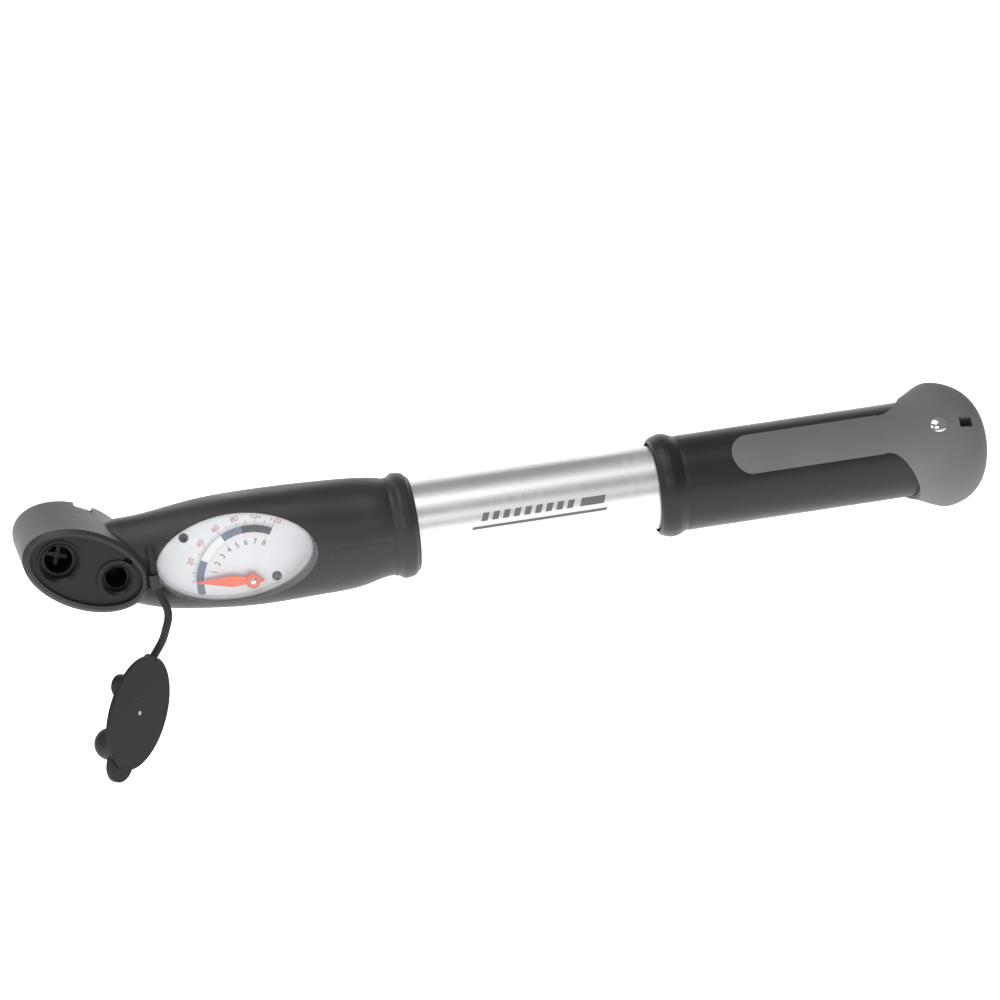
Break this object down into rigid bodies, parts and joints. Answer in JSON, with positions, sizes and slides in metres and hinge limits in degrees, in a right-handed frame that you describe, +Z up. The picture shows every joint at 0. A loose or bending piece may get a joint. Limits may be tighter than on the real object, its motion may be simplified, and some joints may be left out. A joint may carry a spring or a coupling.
{
  "type": "bicycle mini pump",
  "caption": "Hand pump with a twin-hole valve head, thumb lock lever, tethered dust cap, inset pressure gauge, aluminium barrel and a soft-gripped pull handle that slides and turns.",
  "frame": {"origin": "on the barrel's axis, in the middle of the bare barrel, where a frame clip grips it", "axes": "+X along the barrel from the valve head to the handle, +Z up, the gauge and the valve holes face -Y"},
  "size_m": [0.2812, 0.0457, 0.0732],
  "materials": {
    "casing_black": "satin moulded, fine grain",
    "barrel_silver": "satin anodised",
    "inner_plastic": "moulded",
    "rubber_black": "moulded",
    "spring_steel": "drawn wire",
    "white_plastic": "moulded",
    "brass_coil": "drawn",
    "dial_silver": "silver print",
    "lens_clear": "clear polycarbonate",
    "steel_bright": "polished",
    "needle_red": "painted",
    "lever_black": "moulded",
    "rod_aluminium": "turned",
    "handle_black": "satin-gloss moulded",
    "grip_grey": "soft-touch, matte"
  },
  "bodies": {
    "pump": {"casing": "casing_black", "barrel": "barrel_silver", "base_plug": "inner_plastic", "base_o_ring": "rubber_black", "check_spring": "spring_steel", "end_bush": "inner_plastic", "rod_wiper": "rubber_black", "gauge_base": "white_plastic", "bourdon_coil": "brass_coil", "dial_plate": "dial_silver", "lens_gasket": "rubber_black", "gauge_lens": "lens_clear", "valve_block": "inner_plastic", "schrader_collar": "lever_black", "presta_collar": "lever_black", "schrader_grommet": "rubber_black", "presta_grommet": "rubber_black", "lever_pin": "steel_bright"},
    "needle": {"gauge_needle": "needle_red", "needle_spindle": "steel_bright"},
    "lever": {"lock_lever": "lever_black"},
    "yoke": {"clamp_yoke": "inner_plastic", "valve_depressor": "inner_plastic"},
    "check": {"check_disc": "rubber_black"},
    "tether": {"tether": "rubber_black"},
    "cap": {"dust_cap": "rubber_black"},
    "seal": {"piston_o_ring": "rubber_black"},
    "handle": {"piston_head": "white_plastic", "piston_screw": "spring_steel", "plunger_rod": "rod_aluminium", "handle_core": "handle_black", "handle_guide_ring": "white_plastic", "handle_grip": "grip_grey", "cross_pin": "steel_bright", "handle_bumper": "rubber_black"}
  },
  "joints": [
    {"name": "stroke", "type": "slide", "parent": "pump", "child": "seal", "axis": [1, 0, 0], "range_m": [0, 0.123]},
    {"name": "handle_turn", "type": "hinge", "parent": "seal", "child": "handle", "pos_m": [0, 0, 0], "axis": [1, 0, 0], "continuous": true},
    {"name": "needle_swing", "type": "hinge", "parent": "pump", "child": "needle", "pos_m": [-0.0832, -0.007, -0.00745], "axis": [0, 1, 0], "range_deg": [0, 112], "stiffness_Nm_per_rad": 0.0002, "deforming": ["bourdon_coil"]},
    {"name": "lever_lock", "type": "hinge", "parent": "pump", "child": "lever", "pos_m": [-0.13215, 0.01, 0.00515], "axis": [0.4384, 0, 0.8988], "range_deg": [0, 90]},
    {"name": "yoke_press", "type": "slide", "parent": "pump", "child": "yoke", "axis": [0, -1, 0], "range_m": [0, 0.00126], "deforming": ["schrader_grommet", "presta_grommet"]},
    {"name": "check_lift", "type": "slide", "parent": "pump", "child": "check", "axis": [-1, 0, 0], "range_m": [0, 0.001], "stiffness_N_per_m": 50, "springref_m": -0.0004, "deforming": ["check_spring"]},
    {"name": "tether_swivel", "type": "hinge", "parent": "pump", "child": "tether", "pos_m": [-0.11091, -0.0125, -0.00188], "axis": [-0.0675, 0, 0.9977], "range_deg": [-60, 25]},
    {"name": "cap_swing", "type": "hinge", "parent": "tether", "child": "cap", "pos_m": [-0.11531, -0.0119, -0.02537], "axis": [0.6247, 0.4889, -0.6089], "range_deg": [-12, 12]}
  ],
  "couplings": [
    {"joint": "lever_lock", "follows": "yoke_press", "rad_per_m": 1250}
  ]
}
